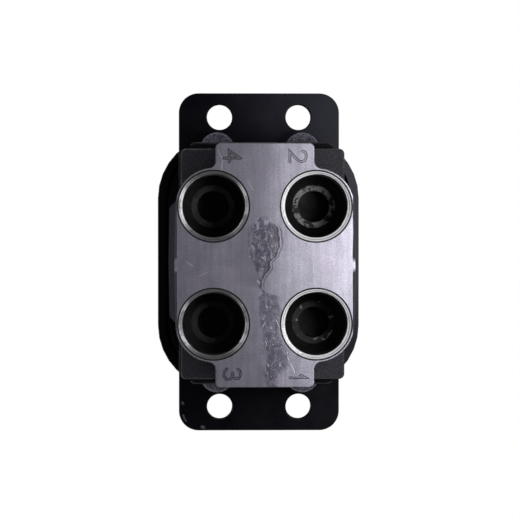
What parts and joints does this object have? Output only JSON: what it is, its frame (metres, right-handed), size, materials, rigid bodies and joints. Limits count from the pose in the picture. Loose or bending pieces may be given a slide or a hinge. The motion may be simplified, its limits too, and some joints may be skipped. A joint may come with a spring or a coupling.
{
  "type": "pilot control valve",
  "caption": "Hydraulic pilot control valve with a tilting lever on a universal joint, a rubber boot, a mounting plate and a drilled port block.",
  "frame": {"origin": "centre of the machined port face, under the lever's axis", "axes": "+Z towards the lever, Y along the mounting plate, X across it"},
  "size_m": [0.072, 0.12, 0.165],
  "materials": {
    "cast_housing": "black paint, bare machined port face",
    "black_plate": "satin black",
    "black_screws": "black oxide",
    "boot_rubber": "matt moulded rubber",
    "seal_rubber": "smooth",
    "bronze": "turned",
    "ground_steel": "ground",
    "turned_steel": "turned",
    "spring_steel": "drawn wire",
    "plated_nuts": "zinc plated",
    "collar_plastic": "matt"
  },
  "bodies": {
    "valve_body": {"casing": "cast_housing", "mounting_plate": "black_plate", "plate_screws": "black_screws", "cover_plate": "black_plate", "cover_screws": "black_screws", "plunger_bushings": "bronze", "bushing_o_rings": "seal_rubber", "rod_seals": "seal_rubber", "joint_base": "turned_steel", "boot": "boot_rubber", "return_spring_1": "spring_steel", "return_spring_2": "spring_steel", "return_spring_3": "spring_steel", "return_spring_4": "spring_steel"},
    "cross": {"centre_block": "turned_steel", "long_pin": "ground_steel", "short_pins": "ground_steel"},
    "lever": {"lever_yoke": "turned_steel", "swash_plate": "turned_steel", "swash_lock_nut": "plated_nuts", "handle_nut": "plated_nuts", "boot_collar": "collar_plastic"},
    "plunger_1": {"plunger_1": "ground_steel", "spring_seat_1": "turned_steel"},
    "spool_1": {"spool_1": "ground_steel", "balance_spring_1": "spring_steel"},
    "plunger_2": {"plunger_2": "ground_steel", "spring_seat_2": "turned_steel"},
    "spool_2": {"spool_2": "ground_steel", "balance_spring_2": "spring_steel"},
    "plunger_3": {"plunger_3": "ground_steel", "spring_seat_3": "turned_steel"},
    "spool_3": {"spool_3": "ground_steel", "balance_spring_3": "spring_steel"},
    "plunger_4": {"plunger_4": "ground_steel", "spring_seat_4": "turned_steel"},
    "spool_4": {"spool_4": "ground_steel", "balance_spring_4": "spring_steel"}
  },
  "joints": [
    {"name": "tilt_x", "type": "hinge", "parent": "valve_body", "child": "cross", "pos_m": [0, 0, 0.091], "axis": [1, 0, 0], "range_deg": [-19, 19], "stiffness_Nm_per_rad": 2.6, "deforming": ["boot"]},
    {"name": "tilt_y", "type": "hinge", "parent": "cross", "child": "lever", "pos_m": [0, 0, 0.091], "axis": [0, 1, 0], "range_deg": [-19, 19], "stiffness_Nm_per_rad": 2.6},
    {"name": "plunger_1_slide", "type": "slide", "parent": "valve_body", "child": "plunger_1", "axis": [0, 0, 1], "range_m": [-0.0064, 0.0064], "deforming": ["return_spring_1", "balance_spring_1"]},
    {"name": "spool_1_slide", "type": "slide", "parent": "valve_body", "child": "spool_1", "axis": [0, 0, 1], "range_m": [-0.0013, 0.0013]},
    {"name": "plunger_2_slide", "type": "slide", "parent": "valve_body", "child": "plunger_2", "axis": [0, 0, 1], "range_m": [-0.0064, 0.0064], "deforming": ["return_spring_2", "balance_spring_2"]},
    {"name": "spool_2_slide", "type": "slide", "parent": "valve_body", "child": "spool_2", "axis": [0, 0, 1], "range_m": [-0.0013, 0.0013]},
    {"name": "plunger_3_slide", "type": "slide", "parent": "valve_body", "child": "plunger_3", "axis": [0, 0, 1], "range_m": [-0.0064, 0.0064], "deforming": ["return_spring_3", "balance_spring_3"]},
    {"name": "spool_3_slide", "type": "slide", "parent": "valve_body", "child": "spool_3", "axis": [0, 0, 1], "range_m": [-0.0013, 0.0013]},
    {"name": "plunger_4_slide", "type": "slide", "parent": "valve_body", "child": "plunger_4", "axis": [0, 0, 1], "range_m": [-0.0064, 0.0064], "deforming": ["return_spring_4", "balance_spring_4"]},
    {"name": "spool_4_slide", "type": "slide", "parent": "valve_body", "child": "spool_4", "axis": [0, 0, 1], "range_m": [-0.0013, 0.0013]}
  ],
  "couplings": [
    {"joint": "plunger_1_slide", "follows": "tilt_x", "m_per_rad": 0.019},
    {"joint": "spool_1_slide", "follows": "tilt_x", "m_per_rad": 0.0038},
    {"joint": "plunger_2_slide", "follows": "tilt_y", "m_per_rad": -0.019},
    {"joint": "spool_2_slide", "follows": "tilt_y", "m_per_rad": -0.0038},
    {"joint": "plunger_3_slide", "follows": "tilt_y", "m_per_rad": 0.019},
    {"joint": "spool_3_slide", "follows": "tilt_y", "m_per_rad": 0.0038},
    {"joint": "plunger_4_slide", "follows": "tilt_x", "m_per_rad": -0.019},
    {"joint": "spool_4_slide", "follows": "tilt_x", "m_per_rad": -0.0038}
  ]
}
